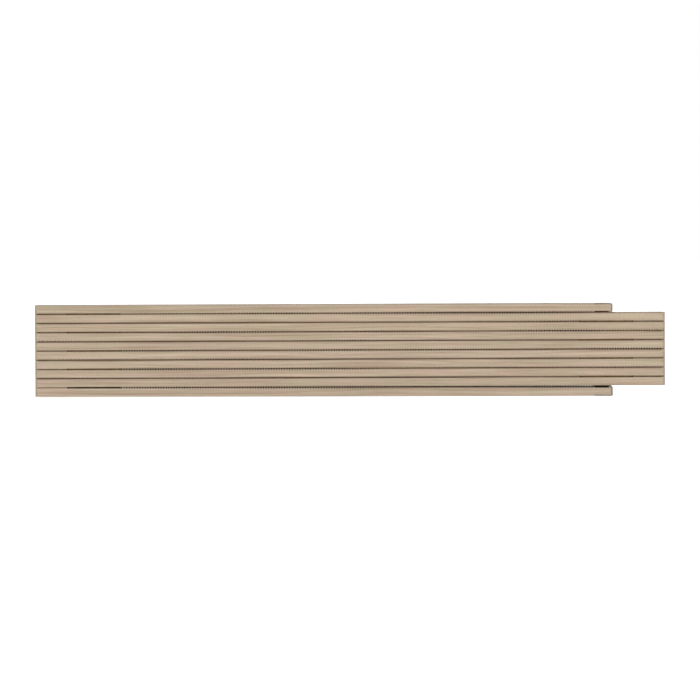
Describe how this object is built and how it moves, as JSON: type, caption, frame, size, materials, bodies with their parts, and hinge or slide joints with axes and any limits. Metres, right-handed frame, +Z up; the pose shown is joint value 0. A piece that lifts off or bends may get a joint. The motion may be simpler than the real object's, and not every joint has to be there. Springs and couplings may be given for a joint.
{
  "type": "folding levelling rod",
  "caption": "Pocket levelling rod: a folding wooden rule of flat beech laths stacked on riveted spring joints, with metal caps on its free ends.",
  "frame": {"origin": "on the resting surface, under the middle of the folded stack", "axes": "+X along the links, towards the two free ends; +Y across the laths' width; +Z up through the stack, from link 10 to link 1"},
  "size_m": [0.24, 0.016, 0.0353],
  "materials": {
    "wood": "satin",
    "plate_steel": "satin",
    "rivet_steel": "polished",
    "pivot_brass": "satin",
    "spring_steel": "satin",
    "cap_steel": "satin"
  },
  "bodies": {
    "link_01": {"link_01_lath": "wood", "link_01_fixing_rivets": "rivet_steel", "link_01_end_cap": "cap_steel", "joint_1_upper_plate": "plate_steel", "joint_1_pivot_rivet": "pivot_brass"},
    "link_02": {"link_02_lath": "wood", "link_02_fixing_rivets": "rivet_steel", "joint_1_lower_plate": "plate_steel", "joint_1_spring_washer": "spring_steel", "joint_2_upper_plate": "plate_steel", "joint_2_pivot_rivet": "pivot_brass"},
    "link_03": {"link_03_lath": "wood", "link_03_fixing_rivets": "rivet_steel", "joint_2_lower_plate": "plate_steel", "joint_2_spring_washer": "spring_steel", "joint_3_upper_plate": "plate_steel", "joint_3_pivot_rivet": "pivot_brass"},
    "link_04": {"link_04_lath": "wood", "link_04_fixing_rivets": "rivet_steel", "joint_3_lower_plate": "plate_steel", "joint_3_spring_washer": "spring_steel", "joint_4_upper_plate": "plate_steel", "joint_4_pivot_rivet": "pivot_brass"},
    "link_05": {"link_05_lath": "wood", "link_05_fixing_rivets": "rivet_steel", "joint_4_lower_plate": "plate_steel", "joint_4_spring_washer": "spring_steel", "joint_5_upper_plate": "plate_steel", "joint_5_pivot_rivet": "pivot_brass"},
    "link_06": {"link_06_lath": "wood", "link_06_fixing_rivets": "rivet_steel", "joint_5_lower_plate": "plate_steel", "joint_5_spring_washer": "spring_steel", "joint_6_upper_plate": "plate_steel", "joint_6_pivot_rivet": "pivot_brass"},
    "link_07": {"link_07_lath": "wood", "link_07_fixing_rivets": "rivet_steel", "joint_6_lower_plate": "plate_steel", "joint_6_spring_washer": "spring_steel", "joint_7_upper_plate": "plate_steel", "joint_7_pivot_rivet": "pivot_brass"},
    "link_08": {"link_08_lath": "wood", "link_08_fixing_rivets": "rivet_steel", "joint_7_lower_plate": "plate_steel", "joint_7_spring_washer": "spring_steel", "joint_8_upper_plate": "plate_steel", "joint_8_pivot_rivet": "pivot_brass"},
    "link_09": {"link_09_lath": "wood", "link_09_fixing_rivets": "rivet_steel", "joint_8_lower_plate": "plate_steel", "joint_8_spring_washer": "spring_steel", "joint_9_upper_plate": "plate_steel", "joint_9_pivot_rivet": "pivot_brass"},
    "link_10": {"link_10_lath": "wood", "link_10_fixing_rivets": "rivet_steel", "link_10_end_cap": "cap_steel", "joint_9_lower_plate": "plate_steel", "joint_9_spring_washer": "spring_steel"}
  },
  "joints": [
    {"name": "joint_9", "type": "hinge", "parent": "link_10", "child": "link_09", "pos_m": [-0.1, 0, 0.0039], "axis": [0, 0, 1], "range_deg": [-180, 180]},
    {"name": "joint_8", "type": "hinge", "parent": "link_09", "child": "link_08", "pos_m": [0.1, 0, 0.0074], "axis": [0, 0, 1], "range_deg": [-180, 180]},
    {"name": "joint_7", "type": "hinge", "parent": "link_08", "child": "link_07", "pos_m": [-0.1, 0, 0.0109], "axis": [0, 0, 1], "range_deg": [-180, 180]},
    {"name": "joint_6", "type": "hinge", "parent": "link_07", "child": "link_06", "pos_m": [0.1, 0, 0.0144], "axis": [0, 0, 1], "range_deg": [-180, 180]},
    {"name": "joint_5", "type": "hinge", "parent": "link_06", "child": "link_05", "pos_m": [-0.1, 0, 0.0179], "axis": [0, 0, 1], "range_deg": [-180, 180]},
    {"name": "joint_4", "type": "hinge", "parent": "link_05", "child": "link_04", "pos_m": [0.1, 0, 0.0214], "axis": [0, 0, 1], "range_deg": [-180, 180]},
    {"name": "joint_3", "type": "hinge", "parent": "link_04", "child": "link_03", "pos_m": [-0.1, 0, 0.0249], "axis": [0, 0, 1], "range_deg": [-180, 180]},
    {"name": "joint_2", "type": "hinge", "parent": "link_03", "child": "link_02", "pos_m": [0.1, 0, 0.0284], "axis": [0, 0, 1], "range_deg": [-180, 180]},
    {"name": "joint_1", "type": "hinge", "parent": "link_02", "child": "link_01", "pos_m": [-0.1, 0, 0.0319], "axis": [0, 0, 1], "range_deg": [-180, 180]}
  ]
}
